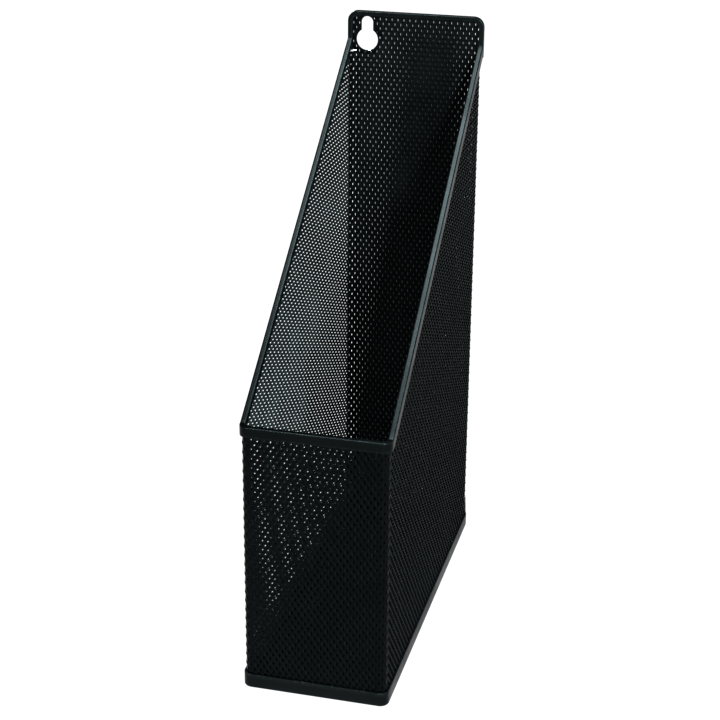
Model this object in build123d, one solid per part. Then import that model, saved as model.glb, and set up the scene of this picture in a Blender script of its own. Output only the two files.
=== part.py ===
from build123d import *
import math
import os

# Magazine file: an open-topped desk holder of black coated steel.
# Walls of expanded-metal mesh stand in a shallow sheet tray, and a folded
# U-channel binds the cut top edge: level over the low front, straight up a
# slant on each side, and round the top of the tall back.
#
# Frame: origin at the middle of the footprint on the resting plane,
# +Z up, +Y to the tall back, the low front faces -Y, +X to the right.
# All sizes in millimetres.

# ---- driving dimensions ----
MID_W = 77.0        # wall mid-surface, left to right
MID_D = 215.0       # wall mid-surface, front to back
MID_R = 3.5         # upright corner bend, at the mid-surface
MESH_T = 1.2        # overall thickness of the expanded sheet, strand tip to tip

H_FRONT = 153.0     # top of the rim at the front
H_BACK = 323.0      # top of the rim at the back
H_SLANT = 307.0     # top of each slanted rim where it meets the back rim
TOP_R = 6.0         # rounding of the back's top corners

RIM_W = 3.0         # outside width of the U-channel
RIM_T = 0.9         # its sheet thickness, coating included
LEG_OUT = 5.6       # depth of the outer leg at the front and sides
LEG_IN = 2.8        # depth of the inner leg everywhere, and of both legs at the back

BASE_T = 0.8        # tray sheet
BASE_H = 8.0        # height of the tray's upturned band
BASE_EDGE_R = 0.7   # rounding under the tray

KEY_X = -28.6       # hanging hole, left to right
KEY_Z = 306.5       # centre of the round part
KEY_R = 6.4         # round part, for a screw head
KEY_NECK = 3.5      # half width of the neck, for the screw's shank
KEY_TOP = 320.0     # top of the neck

# ---- construction sizes, all larger than the product needs ----
BLOCK = 1000.0      # side of the cutting blocks
CLEAR = 1.0         # how far a cutter runs past what it cuts
OVERRUN = 60.0      # extra reach of the wall tubes and the profile block
PROFILE_FLOOR = -20.0
ARCH_H = 200.0      # height of the back plate before its foot is cut off
KEY_DEPTH = 20.0    # depth of the keyhole cutter

# ---- derived ----
MESH_OFF = MESH_T / 2                   # mesh faces, either side of mid-surface
RIM_OFF = RIM_W / 2                     # rim faces, either side of mid-surface
Y_FRONT = -MID_D / 2 + MID_R            # where the front corner bends end
Y_BACK = MID_D / 2 - MID_R              # where the back corner bends begin
Y_STOP = MID_D / 2 - RIM_OFF            # front face of the back rim
Y_MESH = MID_D / 2 - MESH_OFF           # front face of the back mesh
SLOPE = (H_SLANT - H_FRONT) / (Y_STOP - Y_FRONT)
PLUMB = math.hypot(1.0, SLOPE)          # upright drop per mm square to the slant
Z_STOP = H_SLANT - LEG_OUT * PLUMB      # foot of the slanted rim at the back rim


def kink_shift(depth):
    """How far back the edge's kink moves when the edge moves depth into the sheet."""
    return (depth * PLUMB - depth) / SLOPE


# Normal, in y and z, of the mitre plane through the kinks of the rim's edges
MITRE_POINT = (Y_FRONT, H_FRONT)
MITRE_NORMAL = (LEG_OUT, kink_shift(LEG_OUT))


# ---- shared shapes ----
def slab(offset, z_low, z_high):
    """Block with the plan of the wall's mid-surface grown by offset."""
    plan = RectangleRounded(MID_W + 2 * offset, MID_D + 2 * offset, MID_R + offset)
    return extrude(Pos(0, 0, z_low) * plan, z_high - z_low)


def ring(outer, inner, z_low=-CLEAR):
    """Upright tube following the wall, between two offsets of its mid-surface."""
    z_high = H_BACK + OVERRUN
    return slab(outer, z_low, z_high) - slab(inner, z_low - CLEAR, z_high + CLEAR)


def straight_sides(outer, inner):
    """Two flat upright slabs along the side walls, between the same offsets."""
    core = Box(MID_W + 2 * inner, BLOCK + CLEAR, BLOCK + CLEAR)
    return Box(MID_W + 2 * outer, BLOCK, BLOCK) - core


def below(depth):
    """Everything under the level front and the slant, both moved depth into the sheet."""
    z_front = H_FRONT - depth
    y_end = MID_D / 2 + OVERRUN
    z_end = H_FRONT + SLOPE * (y_end - Y_FRONT) - depth * PLUMB
    outline = [
        (-y_end, PROFILE_FLOOR),
        (-y_end, z_front),
        (Y_FRONT + kink_shift(depth), z_front),
        (y_end, z_end),
        (y_end, PROFILE_FLOOR),
    ]
    face = make_face(Polyline(*[(0, y, z) for y, z in outline], close=True))
    return extrude(face, MID_W, dir=(1, 0, 0), both=True)


def keep(shape, point, normal):
    """The part of shape on the normal's side of a plane; both given as (y, z)."""
    angle = math.degrees(math.atan2(normal[1], normal[0]))
    half_space = Pos(0, BLOCK / 2, 0) * Box(BLOCK, BLOCK, BLOCK)
    return shape & (Pos(0, *point) * Rot(angle, 0, 0) * half_space)


def half(shape, sign):
    """The part of shape to the right (sign 1) or the left (sign -1)."""
    return shape & (Pos(sign * BLOCK / 4, 0, 0) * Box(BLOCK / 2, BLOCK, BLOCK))


def arch(inset, z_foot, y_low, y_high):
    """Plate across the back with rounded top corners, its edge moved in by inset."""
    width = MID_W + RIM_W - 2 * inset
    plan = RectangleRounded(width, ARCH_H, TOP_R - inset)
    z_middle = H_BACK - inset - ARCH_H / 2
    plate = extrude(Pos(0, y_high, z_middle) * Rot(90, 0, 0) * plan, y_high - y_low)
    return keep(plate, (0, z_foot), (0, 1))


# ---- mesh walls: the envelope of the expanded sheet ----
def make_walls():
    """All four walls, cut off under the web of the rim."""
    return ring(MESH_OFF, -MESH_OFF, BASE_T) & below(RIM_T)


def make_front_mesh():
    """Front panel with both front corner bends."""
    return keep(make_walls(), (Y_FRONT, 0), (-1, 0))


def make_side_mesh(sign):
    """Flat side panel between the corner bends."""
    sides = keep(make_walls(), (Y_FRONT, 0), (1, 0))
    sides = keep(sides, (Y_BACK, 0), (-1, 0))
    return half(sides, sign)


def make_keyhole():
    """Cutter: a round hole with a round-ended neck above."""
    neck_rise = KEY_TOP - KEY_NECK - KEY_Z
    hole = Cylinder(KEY_R, KEY_DEPTH, rotation=(90, 0, 0))
    neck = Pos(0, 0, neck_rise / 2) * Box(2 * KEY_NECK, KEY_DEPTH, neck_rise)
    cap = Pos(0, 0, neck_rise) * Cylinder(KEY_NECK, KEY_DEPTH, rotation=(90, 0, 0))
    return Pos(KEY_X, MID_D / 2, KEY_Z) * (hole + neck + cap)


def make_back_mesh():
    """Bent corners up to the foot of the slanted rims, then a flat full-width plate."""
    bent = ring(MESH_OFF, -MESH_OFF, BASE_T) & below(LEG_OUT)
    bent = keep(bent, (Y_BACK, 0), (1, 0))
    bent = keep(bent, (0, Z_STOP), (0, -1))
    plate = arch(RIM_T, Z_STOP, Y_MESH, Y_MESH + MESH_T)
    return bent + plate - make_keyhole()


# ---- rim: a folded U-channel in four lengths ----
def channel(layer):
    """U-channel along the edge; layer is ring or straight_sides."""
    under = below(RIM_T)
    web = layer(RIM_OFF, -RIM_OFF) & (below(0) - under)
    outer_leg = layer(RIM_OFF, MESH_OFF) & (under - below(LEG_OUT))
    inner_leg = layer(-MESH_OFF, -RIM_OFF) & (under - below(LEG_IN))
    return web + outer_leg + inner_leg


def make_front_rim():
    """Level length round the front corners to the mitres."""
    return keep(channel(ring), MITRE_POINT, (-MITRE_NORMAL[0], -MITRE_NORMAL[1]))


def make_side_rim(sign):
    """Slanted length, running straight past the bent corner to the back rim."""
    bars = keep(channel(straight_sides), MITRE_POINT, MITRE_NORMAL)
    bars = keep(bars, (Y_STOP, 0), (-1, 0))
    return half(bars, sign)


def make_back_rim():
    """Length with two short legs, over the back plate's upright edges and top."""
    y_rear = Y_STOP + RIM_W
    z_cut = Z_STOP - CLEAR
    rim = arch(0, Z_STOP, Y_STOP, y_rear)
    rim = rim - arch(RIM_T, z_cut, Y_MESH, Y_MESH + MESH_T)
    return rim - arch(LEG_IN, z_cut, Y_STOP - CLEAR, y_rear + CLEAR)


# ---- base tray ----
def make_base_tray():
    """Shallow tray whose upturned band wraps the foot of the walls."""
    tray = slab(MESH_OFF + BASE_T, 0, BASE_H)
    tray = fillet(tray.faces().sort_by(Axis.Z)[0].edges(), BASE_EDGE_R)
    return tray - slab(MESH_OFF, BASE_T, BASE_H + CLEAR)


parts = {
    "front_mesh": make_front_mesh(),
    "back_mesh": make_back_mesh(),
    "left_mesh": make_side_mesh(-1),
    "right_mesh": make_side_mesh(1),
    "front_rim": make_front_rim(),
    "back_rim": make_back_rim(),
    "left_rim": make_side_rim(-1),
    "right_rim": make_side_rim(1),
    "base_tray": make_base_tray(),
}
os.makedirs("parts", exist_ok=True)
for name, shape in parts.items():
    export_step(shape, f"parts/{name}.step")
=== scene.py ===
"""Desk tray of black expanded metal: four mesh walls, folded channel rims, a folded tray base.

The walls stand on the floor, z = 0, round the origin. The front faces -Y and is the low side,
right is +X. Both side rims climb towards the back, and the back plate rises above them.
Lengths are in millimetres; meshes, lights and the camera are handed to Blender in metres.
"""

import math

import bmesh
import bpy
import numpy as np
from mathutils import Matrix, Vector


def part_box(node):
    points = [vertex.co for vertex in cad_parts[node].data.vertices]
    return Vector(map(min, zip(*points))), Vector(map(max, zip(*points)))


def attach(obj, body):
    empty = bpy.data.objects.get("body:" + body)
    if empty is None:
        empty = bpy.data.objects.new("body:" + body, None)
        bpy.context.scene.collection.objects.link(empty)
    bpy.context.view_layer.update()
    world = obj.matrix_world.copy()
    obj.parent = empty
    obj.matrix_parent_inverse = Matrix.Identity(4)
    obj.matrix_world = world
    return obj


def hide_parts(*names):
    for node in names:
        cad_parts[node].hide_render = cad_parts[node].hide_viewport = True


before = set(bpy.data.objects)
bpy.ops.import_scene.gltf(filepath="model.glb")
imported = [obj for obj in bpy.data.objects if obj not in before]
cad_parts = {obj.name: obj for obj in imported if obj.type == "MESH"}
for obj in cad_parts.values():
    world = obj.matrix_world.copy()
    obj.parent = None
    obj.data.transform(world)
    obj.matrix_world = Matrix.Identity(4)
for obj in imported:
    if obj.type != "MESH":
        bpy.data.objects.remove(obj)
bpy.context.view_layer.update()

# ---------------------------------------------------------------------------
# Sizes, read from the CAD pieces
# ---------------------------------------------------------------------------
MM = 1000.0                                   # millimetres in a metre


def box_mm(node):
    low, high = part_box(node)
    return [v * MM for v in low], [v * MM for v in high]


tray_low, tray_high = box_mm("base_tray")
front_rim_high = box_mm("front_rim")[1]
back_rim_low, back_rim_high = box_mm("back_rim")
side_rim_low, side_rim_high = box_mm("right_rim")
front_mesh_low, front_mesh_high = box_mm("front_mesh")
back_mesh_high = box_mm("back_mesh")[1]

RIM_W = side_rim_high[0] - side_rim_low[0]    # outside width of the channel
HALF_X = back_rim_high[0] - RIM_W / 2         # wall mid-surface
HALF_Y = back_rim_high[1] - RIM_W / 2
MESH_T = 2 * (front_mesh_high[0] - HALF_X)    # gap the mesh takes up in channel and tray
H_FRONT = front_rim_high[2]
H_BACK = back_rim_high[2]
H_SLANT = side_rim_high[2]                    # upper end of the slanted rims
Y_STOP = side_rim_high[1]
Z_STOP = back_rim_low[2]                      # lower ends of the back rim
PLATE_HALF = back_mesh_high[0]
PLATE_TOP = back_mesh_high[2]
RIM_T = H_BACK - PLATE_TOP                    # thickness of the channel's sheet
Y_FRONT = front_mesh_high[1]                  # where the front corner bends end
Y_BACK = -Y_FRONT
MID_R = HALF_Y + Y_FRONT                      # corner bend at the mid-surface
SLOPE = (H_SLANT - H_FRONT) / (Y_STOP - Y_FRONT)
SLANT_LEN = math.hypot(1.0, SLOPE)            # length of slanted edge per unit of y
ALPHA = math.atan(SLOPE)
LEG_OUT = (H_SLANT - Z_STOP) / SLANT_LEN      # channel legs outside and inside the wall
LEG_IN = LEG_OUT / 2
TOP_R = 6.0                                   # upper corners of the back rim
BASE_T = front_mesh_low[2] - tray_low[2]
BASE_H = tray_high[2]
TRAY_OUT = tray_high[0] - HALF_X              # outside of the tray's band

# The developed wall: a distance runs round it, anticlockwise from above, zero at mid-front.
ARC = MID_R * math.pi / 2
FLAT_X = HALF_X - MID_R                       # end of the flat front and back
PERIM = 4 * FLAT_X + 4 * Y_BACK + 4 * ARC
FRONT_END = FLAT_X
RIGHT_START = FRONT_END + ARC
RIGHT_END = RIGHT_START + 2 * Y_BACK
BACK_START = RIGHT_END + ARC
BACK_END = BACK_START + 2 * FLAT_X
LEFT_START = BACK_END + ARC
LEFT_END = LEFT_START + 2 * Y_BACK
BACK_MID = (BACK_START + BACK_END) / 2

# distance, centre x, centre y and normal's angle; all run straight between the rows
WALL_TABLE = np.array([
    (-RIGHT_START, -FLAT_X, -Y_BACK, -180),
    (-FRONT_END, -FLAT_X, -Y_BACK, -90),
    (FRONT_END, FLAT_X, -Y_BACK, -90),
    (RIGHT_START, FLAT_X, -Y_BACK, 0),
    (RIGHT_END, FLAT_X, Y_BACK, 0),
    (BACK_START, FLAT_X, Y_BACK, 90),
    (BACK_END, -FLAT_X, Y_BACK, 90),
    (LEFT_START, -FLAT_X, Y_BACK, 180),
    (LEFT_END, -FLAT_X, -Y_BACK, 180),
]).T
BENDS = (
    (-RIGHT_START, -FRONT_END), (FRONT_END, RIGHT_START), (RIGHT_END, BACK_START),
    (BACK_END, LEFT_START), (LEFT_END, LEFT_END + ARC),
)


def slant(y, depth):
    """Height of the line that runs depth below the slanted top edge."""
    return H_FRONT + SLOPE * (y - Y_FRONT) - depth * SLANT_LEN


def wall_point(along):
    """Developed distances -> plan points and outward normals: x, y, normal x, normal y."""
    stations, centre_x, centre_y, degrees = WALL_TABLE
    angle = np.radians(np.interp(along, stations, degrees))
    normal_x, normal_y = np.cos(angle), np.sin(angle)
    x = np.interp(along, stations, centre_x) + MID_R * normal_x
    y = np.interp(along, stations, centre_y) + MID_R * normal_y
    return x, y, normal_x, normal_y


def ease(value):
    """Smooth step from 0 to 1."""
    t = np.clip(value, 0, 1)
    return t * t * (3 - 2 * t)


# ---------------------------------------------------------------------------
# Mesh helpers
# ---------------------------------------------------------------------------
def new_object(name, verts, faces):
    """Smooth-shaded object from points in millimetres."""
    mesh = bpy.data.meshes.new(name)
    mesh.from_pydata([tuple(v) for v in (np.asarray(verts) / MM)], [],
                     [tuple(int(i) for i in face) for face in faces])
    mesh.validate()
    mesh.update()
    mesh.polygons.foreach_set("use_smooth", [True] * len(mesh.polygons))
    ob = bpy.data.objects.new(name, mesh)
    bpy.context.scene.collection.objects.link(ob)
    return ob


def add_attribute(mesh, name, values):
    attribute = mesh.attributes.new(name, "FLOAT", "POINT")
    attribute.data.foreach_set("value", np.asarray(values, np.float32))


def skin(name, rings, edge_wear_and_highlight):
    """Tube through rings of points, capped at both ends; the last argument gives each point its
    edge wear and painted highlight.
    """
    count = len(rings[0])
    faces = []
    for i in range(len(rings) - 1):
        for j in range(count):
            a, b = i * count + j, i * count + (j + 1) % count
            faces.append((a, b, b + count, a + count))
    faces.append(tuple(range(count))[::-1])
    faces.append(tuple(range((len(rings) - 1) * count, len(rings) * count)))
    ob = new_object(name, np.concatenate(rings), faces)
    add_attribute(ob.data, "edge_wear_and_highlight", edge_wear_and_highlight)
    # the rings may run either way, so turn the normals outwards; then mark the crisp edges
    bm = bmesh.new()
    bm.from_mesh(ob.data)
    bmesh.ops.recalc_face_normals(bm, faces=bm.faces)
    for edge in bm.edges:
        if len(edge.link_faces) == 2 and edge.calc_face_angle(0) > math.radians(38):
            edge.smooth = False
    bm.to_mesh(ob.data)
    bm.free()
    return ob


# ---------------------------------------------------------------------------
# Plane geometry on the developed wall. Polygons are convex lists of
# (along, z, relief); a half plane (a, b, c) holds where a*along + b*z <= c.
# ---------------------------------------------------------------------------
def clip(poly, a, b, c):
    """The part of a polygon inside a half plane."""
    out = []
    gaps = [a * p[0] + b * p[1] - c for p in poly]
    gaps = [0.0 if abs(gap) < 1e-7 else gap for gap in gaps]
    for i in range(len(poly)):
        j = (i + 1) % len(poly)
        if gaps[i] <= 0:
            out.append(poly[i])
        if gaps[i] * gaps[j] < 0:
            t = gaps[i] / (gaps[i] - gaps[j])
            out.append(tuple(p + t * (q - p) for p, q in zip(poly[i], poly[j])))
    return out if len(out) > 2 else []


def area(poly):
    total = 0.0
    for i in range(len(poly)):
        p, q = poly[i], poly[(i + 1) % len(poly)]
        total += p[0] * q[1] - q[0] * p[1]
    return total / 2


def outside(poly, planes):
    """The polygon minus the convex hole that the half planes bound, as convex parts."""
    if any(min(a * p[0] + b * p[1] - c for p in poly) >= 0 for a, b, c in planes):
        return [poly]
    parts, rest = [], poly
    for a, b, c in planes:
        if not rest:
            break
        part = clip(rest, -a, -b, -c)
        if part and abs(area(part)) > 1e-7:
            parts.append(part)
        rest = clip(rest, a, b, c)
    return parts


def region(start, end, low, high, top=None):
    """Half planes that bound a stretch of wall, and the window that holds it."""
    planes = [(-1, 0, -start), (1, 0, end), (0, -1, -low)] + (top or [(0, 1, high)])
    return planes, (start, end, low, high)


# ---------------------------------------------------------------------------
# Expanded-metal lattice
# ---------------------------------------------------------------------------
CELL_H = 5.4                                  # height of one diamond
CELL_W = PERIM / 165                          # width of one diamond, front and back
SIDE_CELL_W = 2 * Y_BACK / 45                 # the side walls are stretched a little wider
# patterns: where a bond sits, diamond width, bond half width, bond half height
PATTERN_FRONT = (0.0, CELL_W, 1.27, 1.66)
PATTERN_BACK = (0.0, CELL_W, 1.46, 1.92)
PATTERN_RIGHT = (RIGHT_START, SIDE_CELL_W, 1.52, 1.60)
PATTERN_LEFT = (LEFT_START, SIDE_CELL_W, 2.05, 2.19)
BOND_TIP = 0.10                               # half width of a bond's upper and lower ends
BOND_FLAT = 0.34                              # half height of a bond's two sides
SHEET = 0.46                                  # sheet thickness
TILT = 0.50                                   # how far a strand's edges leave the mid-surface
PRESSED = (MESH_T - SHEET) / 2 / TILT * 0.97  # share of that left where the sheet is gripped
GRIP_FADE = 2.2                               # distance from a grip to full relief
BEND_FADE = 3.0                               # distance from a corner bend to full relief
BEND_RELIEF = 0.30                            # share of relief left in a corner bend
WELD_GRID = 2000                              # steps per mm in which corners count as one
WELD_SHIFT = 0.1234                           # keeps round values off the grid's lines
ON_EDGE = 6e-4                                # corners this near an edge lie on it
BIN = 3                                       # size of the search bins
MIN_ISLAND = 20                               # islands of no more facets are left out
CLEAR = 0.02                                  # gap between the mesh and what holds it
MESH_LOW = BASE_T + CLEAR


def facets(start, end, low, high, twist, pattern):
    """Bond and strand facets of the lattice over a window."""
    origin, width, bond_w, bond_h = pattern
    tilt = TILT * twist / bond_w
    outline = [(-bond_w, -BOND_FLAT), (-BOND_TIP, -bond_h), (BOND_TIP, -bond_h),
               (bond_w, -BOND_FLAT), (bond_w, BOND_FLAT), (BOND_TIP, bond_h),
               (-BOND_TIP, bond_h), (-bond_w, BOND_FLAT)]
    out = []
    columns = range(math.floor(2 * (start - origin) / width) - 2,
                    math.ceil(2 * (end - origin) / width) + 3)
    rows = range(math.floor(2 * low / CELL_H) - 2, math.ceil(2 * high / CELL_H) + 3)
    for i in columns:
        for j in rows:
            if (i + j) % 2:
                continue
            x, z = origin + i * width / 2, j * CELL_H / 2
            out.append([(x + u, z + v, tilt * u) for u, v in outline])
            for side in (1, -1):              # a strand up to the next bond on either side
                next_x, next_z = x + side * width / 2, z + CELL_H / 2
                tip, edge = side * BOND_TIP, side * bond_w
                strand = [(x + tip, z + bond_h, tilt * tip),
                          (x + edge, z + BOND_FLAT, tilt * edge),
                          (next_x - tip, next_z - bond_h, -tilt * tip),
                          (next_x - edge, next_z - BOND_FLAT, -tilt * edge)]
                out.append(strand if side > 0 else strand[::-1])
    return out


def cut_facets(regions, twist, pattern, holes):
    """Lattice facets cut to the regions, less the holes."""
    polys = []
    for planes, window in regions:
        for facet in facets(*window, twist, pattern):
            for plane in planes:
                facet = clip(facet, *plane)
                if not facet:
                    break
            if facet and abs(area(facet)) > 1e-6:
                polys.append(facet)
    for hole in holes:
        polys = [part for poly in polys for part in outside(poly, hole)]
    return polys


def loop_edges(ids):
    return zip(ids, ids[1:] + ids[:1])


def weld(polys):
    """Shared points, and the polygons as loops of point numbers."""
    index, points, loops = {}, [], []
    for poly in polys:
        ids = []
        for point in poly:
            key = tuple(int(math.floor(v * WELD_GRID + WELD_SHIFT)) for v in point[:2])
            if key not in index:
                index[key] = len(points)
                points.append(point)
            if not ids or ids[-1] != index[key]:
                ids.append(index[key])
        if len(ids) > 1 and ids[0] == ids[-1]:
            ids.pop()
        if len(ids) > 2 and len(set(ids)) == len(ids):
            loops.append(ids)
    return np.array(points), loops


def split_edges(points, loops):
    """Split open edges that another facet's corner lies on."""
    uses = {}
    for ids in loops:
        for a, b in loop_edges(ids):
            edge = (min(a, b), max(a, b))
            uses[edge] = uses.get(edge, 0) + 1
    single = [edge for edge, count in uses.items() if count == 1]
    bins = {}
    for v in sorted({v for edge in single for v in edge}):
        bins.setdefault((int(points[v, 0] // BIN), int(points[v, 1] // BIN)), []).append(v)
    splits = {}
    for edge in single:
        start, end = points[edge[0], :2], points[edge[1], :2]
        run = end - start
        length = np.hypot(*run)
        if length < 1e-3:
            continue
        low, high = np.minimum(start, end), np.maximum(start, end)
        found = []
        for i in range(int(low[0] // BIN), int(high[0] // BIN) + 1):
            for j in range(int(low[1] // BIN), int(high[1] // BIN) + 1):
                for v in bins.get((i, j), ()):
                    if v in edge:
                        continue
                    offset = points[v, :2] - start
                    t = offset @ run / length ** 2
                    gap = abs(offset[0] * run[1] - offset[1] * run[0]) / length
                    if 1e-4 < t < 1 - 1e-4 and gap < ON_EDGE:
                        found.append((t, v))
        if found:
            splits[edge] = [v for _, v in sorted(found)]
    out = []
    for ids in loops:
        new_ids = []
        for a, b in loop_edges(ids):
            between = splits.get((min(a, b), max(a, b)), [])
            new_ids += [a] + (between if a < b else between[::-1])
        out.append(new_ids)
    return out


def drop_islands(points, loops):
    """Leave out any sliver that the cuts left on its own, and unused points."""
    group = list(range(len(points)))

    def root(v):
        while group[v] != v:
            group[v] = group[group[v]]
            v = group[v]
        return v

    for ids in loops:
        for v in ids[1:]:
            group[root(v)] = root(ids[0])
    size = {}
    for ids in loops:
        size[root(ids[0])] = size.get(root(ids[0]), 0) + 1
    loops = [ids for ids in loops if size[root(ids[0])] > MIN_ISLAND]
    used = sorted({v for ids in loops for v in ids})
    renumber = {v: i for i, v in enumerate(used)}
    return points[used], [[renumber[v] for v in ids] for ids in loops]


def near_bend(along):
    """Share of relief left: the sheet is rolled flatter round the corner bends."""
    gap = np.full_like(along, 99.0)
    for start, end in BENDS:
        gap = np.minimum(gap, np.maximum(0, np.maximum(start - along, along - end)))
    return BEND_RELIEF + (1 - BEND_RELIEF) * ease(gap / BEND_FADE)


def add_wall_map(mesh, along, z):
    """UV map of the developed wall: outer face in the left half, inner in the right."""
    layer = mesh.uv_layers.new(name="OFBake")
    corner_verts = np.zeros(len(mesh.loops), np.int64)
    mesh.loops.foreach_get("vertex_index", corner_verts)
    u = (along - along.min()) / (along.max() - along.min()) * 0.47
    v = (z - z.min()) / (z.max() - z.min()) * 0.96
    u = np.concatenate([u + 0.015, u + 0.515])[corner_verts]
    v = np.concatenate([v + 0.02, v + 0.02])[corner_verts]
    layer.data.foreach_set("uv", np.stack([u, v], 1).astype(np.float32).ravel())


def lattice(name, regions, twist, pattern, grip, place=wall_point,
            flatten=lambda along, z: near_bend(along), holes=(), border=()):
    """Closed sheet mesh of the lattice.

    grip gives the lower edge of the channel over the sheet, place puts the developed wall
    in plan and flatten caps the share of relief.
    """
    points, loops = weld(cut_facets(regions, twist, pattern, holes) + list(border))
    loops = split_edges(points, loops)
    points, loops = drop_islands(points, loops)
    along, z, depth = points.T
    # the strands stand proud in the open and lie flat inside the channel and the tray
    open_depth = np.minimum(z - BASE_H, grip(along) - z)
    relief = PRESSED + (1 - PRESSED) * ease(open_depth / GRIP_FADE)
    depth = (depth * np.minimum(relief, flatten(along, z)))[:, None]

    placed = place(along, z) if place is not wall_point else wall_point(along)
    x, y, normal_x, normal_y = placed
    middle = np.stack([x, y, z], 1)
    normal = np.stack([normal_x, normal_y, np.zeros(len(z))], 1)
    verts = np.concatenate([middle + normal * (depth + SHEET / 2),
                            middle + normal * (depth - SHEET / 2)])
    count = len(points)
    faces = loops + [[v + count for v in ids[::-1]] for ids in loops]
    directed = dict.fromkeys(edge for ids in loops for edge in loop_edges(ids))
    faces += [[b, a, a + count, b + count] for a, b in directed if (b, a) not in directed]
    ob = new_object(name, verts, faces)
    # sheared edges stay crisp, bends stay round
    ob.data.set_sharp_from_angle(angle=math.radians(50))
    add_wall_map(ob.data, along, z)
    # which edge of a strand each corner is on: the coat paints the raised edges lighter, a
    # painted highlight
    lift = np.concatenate([depth[:, 0], -depth[:, 0]]) / (TILT * PRESSED)
    add_attribute(ob.data, "lift", lift)
    return ob


def front_mesh():
    top = H_FRONT - RIM_T - CLEAR
    stations = (-RIGHT_START, -FRONT_END, FRONT_END, RIGHT_START)
    regions = [region(start, end, MESH_LOW, top) for start, end in zip(stations, stations[1:])]
    return lattice("expanded_front", regions, twist=1, pattern=PATTERN_FRONT,
                   grip=lambda along: H_FRONT - LEG_OUT)


def side_mesh(name, start, end, climb, pattern):
    """A side wall under its slanted rim; climb is 1 where the edge rises along the wall."""
    slope = climb * SLOPE
    foot = start if climb > 0 else end
    edge = slant(Y_FRONT, RIM_T) - CLEAR - slope * foot
    regions = [region(start, end, MESH_LOW, slant(Y_BACK, RIM_T), top=[(-slope, 1, edge)])]
    return lattice(name, regions, twist=-1, pattern=pattern,
                   grip=lambda along: slant(Y_FRONT, LEG_OUT) + slope * (along - foot))


# ---------------------------------------------------------------------------
# Hanging hole in the back plate: a round part with a narrower neck above it
# ---------------------------------------------------------------------------
HOLE_X, HOLE_Z = -28.6, 306.5                 # centre of the round part
HOLE_R = 6.4
NECK_R = 3.5                                  # half width of the neck and radius of its end
HOLE_TOP = 320.0
HOLE_ALONG = BACK_MID - HOLE_X
NECK_Z = HOLE_TOP - NECK_R                    # centre of the neck's round end
BORDER = 0.9                                  # pressed border round the hole
BORDER_RELIEF = 0.04                          # share of relief left in the border
BORDER_FADE = 1.6                             # distance from the border to full relief


def hole_planes(grow):
    """The round part and the neck, each as half planes about the round part's centre."""
    bulb = [(math.cos(a), math.sin(a), HOLE_R + grow) for a in np.radians(np.arange(0, 360, 10))]
    neck = [(1, 0, NECK_R + grow), (-1, 0, NECK_R + grow), (0, -1, 0)]
    for a in np.radians(np.arange(5, 180, 10)):
        neck.append((math.cos(a), math.sin(a),
                     math.sin(a) * (NECK_Z - HOLE_Z) + NECK_R + grow))
    return bulb, neck


def reach(planes, angle):
    """Distance from the centre to the planes' outline at an angle."""
    dx, dz = math.cos(angle), math.sin(angle)
    return min(c / (a * dx + b * dz) for a, b, c in planes if a * dx + b * dz > 1e-9)


def hole_reach(grow, angle):
    bulb, neck = hole_planes(grow)
    return max(reach(bulb, angle), reach(neck, angle) if math.sin(angle) > 1e-9 else 0.0)


def hole_angles(grow):
    """Angles of every corner of the outline."""
    out = [math.radians(degrees) for degrees in range(5, 365, 10)]
    bulb, neck = hole_planes(grow)
    sides = [neck[0]] + neck[3:] + [neck[1]]
    for p, q in zip(sides, sides[1:]):
        det = p[0] * q[1] - q[0] * p[1]
        x = (p[2] * q[1] - q[2] * p[1]) / det
        z = (p[0] * q[2] - q[0] * p[2]) / det
        out.append(math.atan2(z, x) % (2 * math.pi))
    for side in (1, -1):                      # where the neck meets the round part
        low, high = math.radians(45), math.radians(89)
        for _ in range(60):
            middle = (low + high) / 2
            angle = middle if side > 0 else math.pi - middle
            if reach(neck, angle) > reach(bulb, angle):
                high = middle
            else:
                low = middle
        out.append(high if side > 0 else math.pi - high)
    return out


def hole_border():
    """Flat quads between the hole and the lattice round it."""
    turn = sorted(set(round(a, 9) for a in hole_angles(0.0) + hole_angles(BORDER)))
    turn = [a for i, a in enumerate(turn) if i == 0 or a - turn[i - 1] > 1e-5]
    quads = []
    for a, b in zip(turn, turn[1:] + [turn[0] + 2 * math.pi]):
        quad = []
        for angle, grow in ((a, 0.0), (a, BORDER), (b, BORDER), (b, 0.0)):
            radius = hole_reach(grow, angle)
            quad.append((HOLE_ALONG + radius * math.cos(angle),
                         HOLE_Z + radius * math.sin(angle), 0.0))
        quads.append(quad)
    return quads


def near_hole(along, z):
    """Nearly flat at the hole's border, easing back to full relief outside it."""
    dx = along - HOLE_ALONG
    bulb_gap = np.hypot(dx, z - HOLE_Z) - HOLE_R
    neck_gap = np.hypot(dx, z - np.clip(z, HOLE_Z, NECK_Z)) - NECK_R
    gap = np.where(z > HOLE_Z, np.minimum(bulb_gap, neck_gap), bulb_gap)
    relief = BORDER_RELIEF + (1 - BORDER_RELIEF) * ease((gap - BORDER) / BORDER_FADE)
    # the plate is flat above the bent corners, so no bend counts there
    return np.minimum(near_bend(np.where(z > Z_STOP, BACK_MID, along)), relief)


def back_point(along, z):
    """Back: bent corners below the back rim's ends, flat above."""
    x, y, normal_x, normal_y = wall_point(along)
    flat = z >= Z_STOP - 1e-6
    return (np.where(flat, -(along - BACK_MID), x), np.where(flat, HALF_Y, y),
            np.where(flat, 0.0, normal_x), np.where(flat, 1.0, normal_y))


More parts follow.
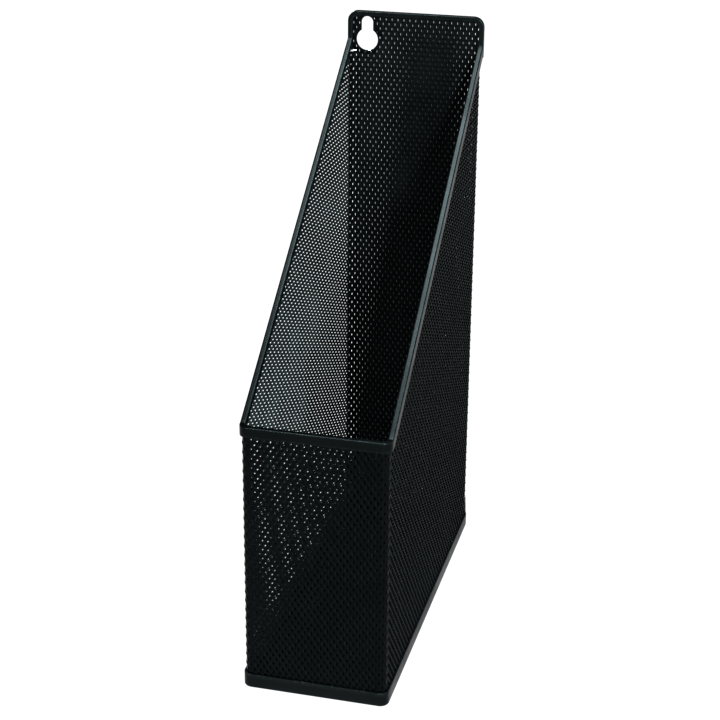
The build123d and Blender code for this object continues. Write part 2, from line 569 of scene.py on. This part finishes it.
def back_mesh():
    """Flat body, two bent corners, and the wings of the plate above them."""
    plate_r = TOP_R - RIM_T
    top = [(0, 1, PLATE_TOP)]
    for side in (-1, 1):                      # rounded upper corners
        for a in np.radians(np.arange(7.5, 90, 15)):
            dx, dz = side * math.sin(a), math.cos(a)
            centre_x = BACK_MID + side * (PLATE_HALF - plate_r)
            centre_z = PLATE_TOP - plate_r
            top.append((dx, dz, dx * centre_x + dz * centre_z + plate_r))
    bend_low, bend_high = slant(Y_BACK, LEG_OUT) - CLEAR, Z_STOP - CLEAR
    rise = (bend_high - bend_low) / ARC
    regions = [
        region(RIGHT_END, BACK_START, MESH_LOW, bend_high,
               top=[(-rise, 1, bend_low - rise * RIGHT_END)]),
        region(BACK_START, BACK_END, MESH_LOW, PLATE_TOP, top),
        region(BACK_END, LEFT_START, MESH_LOW, bend_high,
               top=[(rise, 1, bend_low + rise * LEFT_START)]),
        region(BACK_MID - PLATE_HALF, BACK_START, Z_STOP, PLATE_TOP, top),
        region(BACK_END, BACK_MID + PLATE_HALF, Z_STOP, PLATE_TOP, top),
    ]
    holes = [[(a, b, c + a * HOLE_ALONG + b * HOLE_Z) for a, b, c in part]
             for part in hole_planes(BORDER)]

    def grip(along):
        return np.where(np.abs(along - BACK_MID) > FLAT_X - 3, Z_STOP - 3, H_BACK - LEG_IN)

    return lattice("expanded_back", regions, twist=-1, pattern=PATTERN_BACK, grip=grip,
                   place=back_point, flatten=near_hole, holes=holes, border=hole_border())


# ---------------------------------------------------------------------------
# Rims: one folded channel section, swept along each length of edge
# ---------------------------------------------------------------------------
LIP = 0.16                                    # rounding of the legs' cut edges
FOLD_R = 0.52                                 # outside radius of the folds
FOLD_STEPS = 5
KINK_R = 5.0                                  # bend of the top edge where the slant begins
KINK_STEPS = 8


def channel_section(out_leg, in_leg):
    """Closed section as rows of (distance outwards, depth below the top, edge wear and painted
    highlight, marked on the folds and lips).
    """
    half, slot = RIM_W / 2, MESH_T / 2
    fold = [math.pi / 2 * k / FOLD_STEPS for k in range(FOLD_STEPS + 1)]
    points = [(slot + LIP, out_leg, 0.5), (half - LIP, out_leg, 0.6),
              (half - LIP * 0.3, out_leg - LIP * 0.3, 0.6), (half, out_leg - LIP, 0.5)]
    for k in range(1, 5):
        points.append((half, out_leg - LIP - (out_leg - LIP - FOLD_R) * k / 5, 0.0))
    for a in fold:
        points.append((half - FOLD_R + FOLD_R * math.cos(a), FOLD_R - FOLD_R * math.sin(a),
                       math.sin(2 * a) * 0.9 + 0.1))
    for k in range(1, 4):
        points.append((half - FOLD_R - (2 * half - 2 * FOLD_R) * k / 4, 0.0, 0.0))
    for a in fold:
        points.append((-half + FOLD_R - FOLD_R * math.sin(a), FOLD_R - FOLD_R * math.cos(a),
                       math.sin(2 * a) * 0.9 + 0.1))
    points += [
        (-half, FOLD_R + (in_leg - LIP - FOLD_R) * 0.5, 0.0), (-half, in_leg - LIP, 0.5),
        (-half + LIP * 0.3, in_leg - LIP * 0.3, 0.6), (-half + LIP, in_leg, 0.6),
        (-slot - LIP, in_leg, 0.5), (-slot, in_leg - LIP, 0.3),
        (-slot, RIM_T, 0.0), (slot, RIM_T, 0.0), (slot, out_leg - LIP, 0.3),
    ]
    return np.array(points)


def channel(name, rings, section):
    return skin(name, rings, np.tile(section[:, 2], len(rings)))


SIDE_SECTION = channel_section(LEG_OUT, LEG_IN)
BACK_SECTION = channel_section(LEG_IN, LEG_IN)

# The top edge round the kink: distance past the right wall's start, height, angle of rise.
KINK = []
for k in range(KINK_STEPS + 1):
    angle = ALPHA * k / KINK_STEPS
    KINK.append((-KINK_R * math.tan(ALPHA / 2) + KINK_R * math.sin(angle),
                 H_FRONT + KINK_R * (1 - math.cos(angle)), angle))
KINK_MID = KINK_STEPS // 2                    # the front and side rims meet here


def wall_ring(past, z, rise):
    """Side section with its top at (past, z), the edge rising at an angle."""
    across, depth = SIDE_SECTION[:, 0], SIDE_SECTION[:, 1]
    past = past + depth * math.sin(rise)
    along = RIGHT_START + past
    x, y, normal_x, normal_y = wall_point(np.minimum(along, RIGHT_END))
    y = np.where(along > RIGHT_END, Y_FRONT + past, y)   # runs straight on to the back
    return np.stack([x + normal_x * across, y + normal_y * across,
                     z - depth * math.cos(rise)], 1)


def mirrored(rings):
    return [ring * (-1, 1, 1) for ring in rings]


def right_rim_rings():
    rings = [wall_ring(*station) for station in KINK[KINK_MID:]]
    start, start_z, rise = KINK[-1]
    end = Y_STOP - Y_FRONT - LEG_OUT * math.sin(ALPHA) - 1.0
    for past in np.linspace(start, end, 60)[1:]:
        rings.append(wall_ring(past, start_z + (past - start) * SLOPE, rise))
    # the last section ends square against the back rim
    last = rings[-1].copy()
    step = Y_STOP - 0.01 - last[:, 1]
    last[:, 1] += step
    last[:, 2] += step * SLOPE
    return rings + [last]


def front_rim():
    """From the right kink round to the left one, the left corner mirrored from the right."""
    corner = [wall_ring(*station) for station in KINK[KINK_MID::-1]]
    corner += [wall_ring(past, H_FRONT, 0.0) for past in np.linspace(KINK[0][0], -ARC, 8)[1:]]
    flat = [wall_ring(past, H_FRONT, 0.0)
            for past in np.linspace(-ARC, -ARC - 2 * FLAT_X, 40)[1:]]
    return channel("channel_front", corner + flat + mirrored(corner[::-1])[1:], SIDE_SECTION)


def back_rim():
    """Short legs on both faces, up one end, along the top and down the other."""
    half = back_rim_high[0]
    shoulder = H_BACK - TOP_R
    path = [(-half, z, 1.0, 0.0) for z in np.linspace(Z_STOP, shoulder, 8)]

    def add_corner(centre_x, start, end):
        for a in np.radians(np.linspace(start, end, 11))[1:]:
            path.append((centre_x + TOP_R * math.cos(a), shoulder + TOP_R * math.sin(a),
                         -math.cos(a), -math.sin(a)))

    # rows of x, z and the direction into the plate
    add_corner(-half + TOP_R, 180, 90)
    path += [(x, H_BACK, 0.0, -1.0) for x in np.linspace(-half + TOP_R, half - TOP_R, 30)[1:]]
    add_corner(half - TOP_R, 90, 0)
    path += [(half, z, -1.0, 0.0) for z in np.linspace(shoulder, Z_STOP, 8)[1:]]
    across, depth = BACK_SECTION[:, 0], BACK_SECTION[:, 1]
    rings = [np.stack([x + in_x * depth, HALF_Y + across, z + in_z * depth], 1)
             for x, z, in_x, in_z in path]
    return channel("channel_back", rings, BACK_SECTION)


# ---------------------------------------------------------------------------
# Tray
# ---------------------------------------------------------------------------
TRAY_EDGE_R = 0.7                             # lower outside edge
TRAY_CORNER_POINTS = 9


def tray_loop(offset, z):
    """Rounded rectangle at an offset outwards from the wall's mid-surface."""
    radius = MID_R + offset
    corners = []
    for side_x, side_y, start in ((1, 1, 0), (-1, 1, 90), (-1, -1, 180), (1, -1, 270)):
        for k in range(TRAY_CORNER_POINTS):
            a = math.radians(start + 90 * k / (TRAY_CORNER_POINTS - 1))
            corners.append((side_x * FLAT_X + radius * math.cos(a),
                            side_y * Y_BACK + radius * math.sin(a), z))
    out = []
    for p, q in zip(corners, corners[1:] + corners[:1]):   # long flats get more points
        length = math.dist(p, q)
        steps = 1 if length < 5 else (12 if length < 100 else 32)
        for k in range(steps):
            t = k / steps
            out.append(tuple(p[c] + (q[c] - p[c]) * t for c in range(3)))
    return np.array(out)


def folded_tray():
    inner, outer = MESH_T / 2, TRAY_OUT
    # offset from the wall's mid-surface, z, edge wear and painted highlight (most on the band's
    # top lip); from the floor over the band to the underside
    section = [
        (inner - 3.0, BASE_T, 0), (inner - 0.5, BASE_T, 0),
        (inner - 0.15, BASE_T + 0.06, 0), (inner, BASE_T + 0.3, 0),
        (inner, BASE_H * 0.5, 0), (inner, BASE_H - 0.2, 0.5),
        (inner + 0.07, BASE_H - 0.06, 0.9), (inner + 0.2, BASE_H, 1.0),
        (outer - 0.22, BASE_H, 1.0), (outer - 0.06, BASE_H - 0.08, 0.9),
        (outer, BASE_H - 0.25, 0.4), (outer, BASE_H * 0.7, 0),
        (outer, BASE_H * 0.4, 0), (outer, TRAY_EDGE_R + 0.1, 0.1),
    ]
    for k in range(1, 7):
        a = math.pi / 2 * k / 6
        section.append((outer - TRAY_EDGE_R + TRAY_EDGE_R * math.cos(a),
                        TRAY_EDGE_R - TRAY_EDGE_R * math.sin(a), 0.7 if k < 6 else 0.3))
    section.append((outer - 6.0, 0.0, 0.0))
    loops = [tray_loop(offset, z) for offset, z, _ in section]
    return skin("folded_tray", loops, np.repeat([edge_wear_and_highlight for _, _, edge_wear_and_highlight in section], len(loops[0])))


# ---------------------------------------------------------------------------
# Materials: black powder coat
# ---------------------------------------------------------------------------
WORN_AND_HIGHLIGHT_COLOUR = (0.105, 0.12, 0.122, 1)              # lighter colour of the marked edges: wear on the rims and tray, and a painted highlight on the mesh's raised strand edges


def coat(name, base, light, rough, bump, wear_and_highlight_attr, wear_and_highlight_gain, grain, specular):
    """Powder coat: base to light in clouds; bump and grain are the coat's texture in metres."""
    material = bpy.data.materials.new(name)
    material.use_nodes = True
    tree = material.node_tree
    tree.nodes.clear()
    new, link = tree.nodes.new, tree.links.new
    output = new("ShaderNodeOutputMaterial")
    bsdf = new("ShaderNodeBsdfPrincipled")
    link(bsdf.outputs[0], output.inputs[0])
    coords = new("ShaderNodeTexCoord")

    def feed(socket, value):
        """Link a socket to another, or set its value."""
        if isinstance(value, bpy.types.NodeSocket):
            link(value, socket)
        else:
            socket.default_value = value

    def noise(scale, detail, roughness):
        node = new("ShaderNodeTexNoise")
        node.inputs["Scale"].default_value = scale
        node.inputs["Detail"].default_value = detail
        node.inputs["Roughness"].default_value = roughness
        link(coords.outputs["Object"], node.inputs["Vector"])
        return node.outputs[0]

    def ramp(source, start, end):
        """Black below start, white above end."""
        node = new("ShaderNodeValToRGB")
        node.color_ramp.elements[0].position = start
        node.color_ramp.elements[1].position = end
        link(source, node.inputs[0])
        return node.outputs[0]

    def maths(operation, a, b, clamp=False):
        node = new("ShaderNodeMath")
        node.operation = operation
        node.use_clamp = clamp
        feed(node.inputs[0], a)
        feed(node.inputs[1], b)
        return node.outputs[0]

    def mix(factor, a, b):
        node = new("ShaderNodeMix")
        node.data_type = "RGBA"
        for socket, value in ((0, factor), (6, a), (7, b)):   # 6 and 7 are colours A and B
            feed(node.inputs[socket], value)
        return node.outputs[2]                # the colour result

    def bump_node(distance, height):
        node = new("ShaderNodeBump")
        node.inputs["Strength"].default_value = 1.0
        node.inputs["Distance"].default_value = distance
        link(height, node.inputs["Height"])
        return node

    cloud = noise(scale=38.0, detail=4.0, roughness=0.6)      # broad handling marks
    speck = noise(scale=1.0 / (grain * 2.2), detail=3.0, roughness=0.55)
    fine = noise(scale=1.0 / grain, detail=2.0, roughness=0.5)   # the coat's orange peel
    tone = ramp(cloud, start=0.35, end=0.7)
    colour = mix(maths("MULTIPLY", tone, 0.55), base, light)
    dust = ramp(speck, start=0.62, end=0.78)
    dust_colour = tuple(min(1, 2.2 * c) for c in light[:3]) + (1,)
    colour = mix(maths("MULTIPLY", dust, 0.30), colour, dust_colour)
    roughness = maths("ADD", maths("MULTIPLY", tone, 0.10), rough)
    roughness = maths("ADD", roughness, maths("MULTIPLY", speck, 0.08))

    # patchy lighter and smoother edges where the attribute marks them: edge wear on the rims and
    # tray that also paints a broken highlight along their folds and lips, and a painted highlight
    # on the mesh's raised strand edges
    wear_and_highlight_node = new("ShaderNodeAttribute")
    wear_and_highlight_node.attribute_name = wear_and_highlight_attr
    patch = ramp(noise(scale=420.0, detail=5.0, roughness=0.65), start=0.46, end=0.66)
    patch = maths("ADD", maths("MULTIPLY", patch, 0.8), 0.2)
    wear_and_highlight_amount = maths("MULTIPLY", wear_and_highlight_node.outputs["Fac"], patch, clamp=True)
    wear_and_highlight_amount = maths("MULTIPLY", wear_and_highlight_amount, wear_and_highlight_gain, clamp=True)
    colour = mix(wear_and_highlight_amount, colour, WORN_AND_HIGHLIGHT_COLOUR)
    roughness = maths("SUBTRACT", roughness, maths("MULTIPLY", wear_and_highlight_amount, 0.16))

    link(colour, bsdf.inputs["Base Color"])
    link(roughness, bsdf.inputs["Roughness"])
    bsdf.inputs["Specular IOR Level"].default_value = specular
    bsdf.inputs["Specular Tint"].default_value = (0.82, 0.98, 1.0, 1)
    bsdf.inputs["Coat Weight"].default_value = 0.0
    bsdf.inputs["Coat Roughness"].default_value = 0.22
    fine_bump = bump_node(bump, fine)
    speck_bump = bump_node(bump * 2.5, speck)
    link(fine_bump.outputs[0], speck_bump.inputs["Normal"])
    link(speck_bump.outputs[0], bsdf.inputs["Normal"])
    return material


# ---------------------------------------------------------------------------
# Build the pieces
# ---------------------------------------------------------------------------
front = front_mesh()
right = side_mesh("expanded_right", RIGHT_START, RIGHT_END, climb=1, pattern=PATTERN_RIGHT)
left = side_mesh("expanded_left", LEFT_START, LEFT_END, climb=-1, pattern=PATTERN_LEFT)
back = back_mesh()
side_rings = right_rim_rings()
right_channel = channel("channel_right", side_rings, SIDE_SECTION)
left_channel = channel("channel_left", mirrored(side_rings), SIDE_SECTION)
front_channel = front_rim()
back_channel = back_rim()
tray = folded_tray()

# the mesh's raised strand edges (lift) get the lighter edge colour as a painted highlight, not
# wear
mesh_coat = coat("coat_mesh", base=(0.0018, 0.0025, 0.0027, 1), light=(0.0042, 0.0060, 0.0066, 1),
                 rough=0.20, bump=0.000008, wear_and_highlight_attr="lift", wear_and_highlight_gain=0.10,
                 grain=0.00035, specular=0.16)
# rims and tray: their edge mark is edge wear and also a painted highlight along the folds and
# lips
rim_coat = coat("coat_rim", base=(0.0014, 0.0020, 0.0022, 1), light=(0.0036, 0.0052, 0.0056, 1),
                rough=0.20, bump=0.000006, wear_and_highlight_attr="edge_wear_and_highlight", wear_and_highlight_gain=0.22,
                grain=0.00045, specular=0.24)
tray_coat = coat("coat_tray", base=(0.0035, 0.0045, 0.0048, 1), light=(0.008, 0.0095, 0.010, 1),
                 rough=0.24, bump=0.000008, wear_and_highlight_attr="edge_wear_and_highlight", wear_and_highlight_gain=0.30,
                 grain=0.00050, specular=0.22)

# piece, material, slot, CAD piece it replaces
for ob, material, slot, node in (
    (front, mesh_coat, "mesh", "front_mesh"),
    (back, mesh_coat, "mesh", "back_mesh"),
    (left, mesh_coat, "mesh", "left_mesh"),
    (right, mesh_coat, "mesh", "right_mesh"),
    (front_channel, rim_coat, "rim", "front_rim"),
    (back_channel, rim_coat, "rim", "back_rim"),
    (left_channel, rim_coat, "rim", "left_rim"),
    (right_channel, rim_coat, "rim", "right_rim"),
    (tray, tray_coat, "tray", "base_tray"),
):
    ob.data.materials.append(material)
    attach(ob, "root")
    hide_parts(node)


# ---------------------------------------------------------------------------
# Floor and room (metres from here on, apart from the camera's place)
# ---------------------------------------------------------------------------
def studio_floor():
    mesh = bpy.data.meshes.new("studio_floor")
    mesh.from_pydata([(-6, -6, 0), (6, -6, 0), (6, 6, 0), (-6, 6, 0)], [], [(0, 1, 2, 3)])
    ob = bpy.data.objects.new("studio_floor", mesh)
    bpy.context.scene.collection.objects.link(ob)
    material = bpy.data.materials.new("pale_floor")
    material.use_nodes = True
    bsdf = material.node_tree.nodes["Principled BSDF"]
    bsdf.inputs["Base Color"].default_value = (0.70, 0.70, 0.70, 1)
    bsdf.inputs["Roughness"].default_value = 0.9
    bsdf.inputs["Specular IOR Level"].default_value = 0.1
    mesh.materials.append(material)
    return ob


def studio_world():
    world = bpy.data.worlds.new("studio")
    bpy.context.scene.world = world
    world.use_nodes = True
    tree = world.node_tree
    background = tree.nodes["Background"]
    background.inputs[0].default_value = (0.95, 0.98, 1.0, 1)
    light_path = tree.nodes.new("ShaderNodeLightPath")
    strength = tree.nodes.new("ShaderNodeMapRange")
    strength.inputs["To Min"].default_value = 0.045   # the room as the object sees it
    strength.inputs["To Max"].default_value = 0.80    # the backdrop above the floor's horizon
    tree.links.new(light_path.outputs["Is Camera Ray"], strength.inputs["Value"])
    tree.links.new(strength.outputs[0], background.inputs[1])


floor = studio_floor()
studio_world()


# ---------------------------------------------------------------------------
# Lights, each linked to the pieces it lights
# ---------------------------------------------------------------------------
def collect(name, objects):
    collection = bpy.data.collections.new(name)
    for ob in objects:
        collection.objects.link(ob)
    return collection


def add_light(data, direction, receivers, location=(0, 0, 0)):
    ob = bpy.data.objects.new(data.name, data)
    ob.location = location
    ob.rotation_mode = "QUATERNION"
    ob.rotation_quaternion = direction.to_track_quat("-Z", "Y")
    bpy.context.scene.collection.objects.link(ob)
    ob.light_linking.receiver_collection = receivers
    return ob


def softbox(name, location, target, size, power, colour, receivers):
    data = bpy.data.lights.new(name, "AREA")
    data.shape = "RECTANGLE"
    data.size, data.size_y = size
    data.energy = power
    data.color = colour
    add_light(data, Vector(target) - Vector(location), receivers, location)


rims = (front_channel, back_channel, left_channel, right_channel)
pieces = collect("lit_pieces", (front, back, left, right) + rims + (tray,))
ground = collect("lit_ground", (floor,))
bars = collect("lit_bars", rims + (tray,))
behind = collect("lit_behind", (back, left))
rear_bars = collect("lit_rear_bars", (back_channel, left_channel))
inner_wall = collect("lit_inner_wall", (left,))

softbox("top_box", location=(-0.10, 0.0, 1.6), target=(0, 0, 0.15), size=(0.6, 0.6),
        power=15, colour=(0.93, 0.99, 1.0), receivers=pieces)
softbox("key_box", location=(1.10, -1.95, 1.25), target=(0, 0.1, 0.15), size=(0.34, 0.34),
        power=120, colour=(0.87, 0.97, 1.0), receivers=pieces)
softbox("edge_box", location=(-0.55, -1.75, 1.05), target=(0, -0.1, 0.12), size=(0.5, 0.25),
        power=24, colour=(0.92, 0.99, 1.0), receivers=bars)
softbox("rear_box", location=(-0.95, 2.1, 0.85), target=(0, 0, 0.15), size=(0.5, 0.5),
        power=110, colour=(0.95, 0.99, 1.0), receivers=behind)
softbox("rear_edge_box", location=(-1.25, 1.9, 0.8), target=(0, 0, 0.15), size=(0.5, 0.5),
        power=24, colour=(0.95, 0.99, 1.0), receivers=rear_bars)
softbox("side_box", location=(1.0, -0.9, 1.1), target=(-0.04, 0.0, 0.2), size=(0.5, 0.5),
        power=165, colour=(0.84, 0.97, 1.0), receivers=inner_wall)


def floor_light():
    """A sun for the floor alone, from the front right; only some pieces shade it."""
    azimuth, elevation = math.radians(11.5), math.radians(11.7)
    data = bpy.data.lights.new("floor_light", "SUN")
    data.energy = 15.6
    data.angle = math.radians(1.6)
    direction = Vector((-math.sin(azimuth) * math.cos(elevation),
                        math.cos(azimuth) * math.cos(elevation), -math.sin(elevation)))
    ob = add_light(data, direction, ground)
    ob.light_linking.blocker_collection = collect(
        "floor_light_flags", (back, back_channel, right, right_channel, tray))


floor_light()

# ---------------------------------------------------------------------------
# Camera: looks from the front right, down at a point over the middle
# ---------------------------------------------------------------------------
AZIMUTH, ELEVATION, ROLL = (math.radians(v) for v in (14.282, 22.309, 0.4888))
AIM = Vector((0, 0, 150.0))
DISTANCE = 952.4888
SHIFT_RIGHT, SHIFT_UP = -3.8883, 0.564        # camera's place off the line to AIM
SENSOR_W = 36.0
FOCAL = 85.697885


def photo_camera():
    backward = Vector((math.sin(AZIMUTH) * math.cos(ELEVATION),
                       -math.cos(AZIMUTH) * math.cos(ELEVATION), math.sin(ELEVATION)))
    level = Vector((math.cos(AZIMUTH), math.sin(AZIMUTH), 0))
    upright = backward.cross(level)
    place = (AIM + backward * DISTANCE + level * SHIFT_RIGHT + upright * SHIFT_UP) / MM
    rolled_x = level * math.cos(ROLL) + upright * math.sin(ROLL)
    rolled_y = -level * math.sin(ROLL) + upright * math.cos(ROLL)
    data = bpy.data.cameras.new("photo_camera")
    data.sensor_width = SENSOR_W
    data.lens = FOCAL
    data.clip_start, data.clip_end = 0.01, 50
    ob = bpy.data.objects.new("photo_camera", data)
    bpy.context.scene.collection.objects.link(ob)
    columns = (rolled_x, rolled_y, backward, place)
    ob.matrix_world = Matrix([[v[i] for v in columns] for i in range(3)] + [[0, 0, 0, 1]])
    bpy.context.scene.camera = ob


photo_camera()
view = bpy.context.scene.view_settings
view.view_transform = "Standard"
view.look = "None"
view.exposure = 0.50
view.gamma = 0.66                             # the hard contrast of a catalogue shot

bpy.context.view_layer.update()
